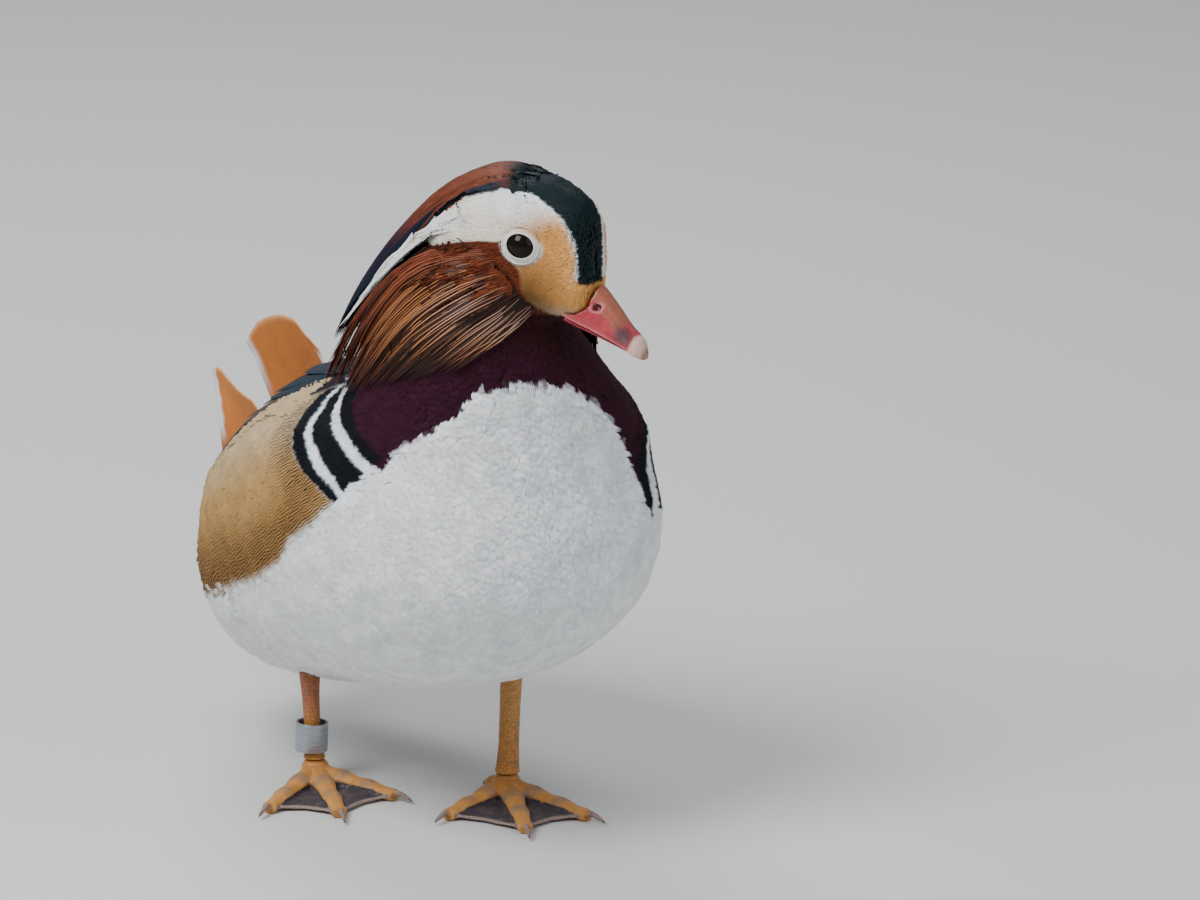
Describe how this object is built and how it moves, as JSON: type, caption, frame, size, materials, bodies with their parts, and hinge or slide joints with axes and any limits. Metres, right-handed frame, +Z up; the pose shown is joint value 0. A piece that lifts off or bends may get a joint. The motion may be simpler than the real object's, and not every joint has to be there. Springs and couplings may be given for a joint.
{
  "type": "mandarin duck figure",
  "caption": "Life-size standing mandarin drake with head turned, crest, cheek ruff, raised sail feathers, folded wings, webbed feet and a plain leg ring.",
  "frame": {"origin": "under the middle of the bounding box, on the floor", "axes": "+Z up; the body faces -Y; the bird's left is +X; the head is turned 33 degrees to its left"},
  "size_m": [0.1276, 0.2582, 0.233],
  "materials": {
    "white_plumage": "soft matte feathers",
    "maroon_plumage": "soft feathers with a slight sheen",
    "cream_plumage": "fine short feathers",
    "crest_plumage": "long silky feathers with a sheen",
    "rust_plumage": "long narrow feathers",
    "wing_plumage": "smooth feathers with a dark gloss",
    "orange_sail": "smooth stiff vane",
    "tail_plumage": "smooth stiff vanes",
    "red_bill": "satin horn",
    "dark_eye": "wet gloss",
    "orange_leg": "scaly satin skin",
    "leg_ring": "brushed grey metal"
  },
  "bodies": {
    "root": {"torso": "white_plumage", "neck": "maroon_plumage", "head": "cream_plumage", "crest": "crest_plumage", "ruff_left": "rust_plumage", "ruff_right": "rust_plumage", "bill_upper": "red_bill", "bill_lower": "red_bill", "eye_left": "dark_eye", "eye_right": "dark_eye", "wing_left": "wing_plumage", "wing_right": "wing_plumage", "sail_left": "orange_sail", "sail_right": "orange_sail", "tail": "tail_plumage", "leg_left": "orange_leg", "leg_right": "orange_leg", "foot_left": "orange_leg", "foot_right": "orange_leg", "leg_ring": "leg_ring"}
  },
  "joints": []
}
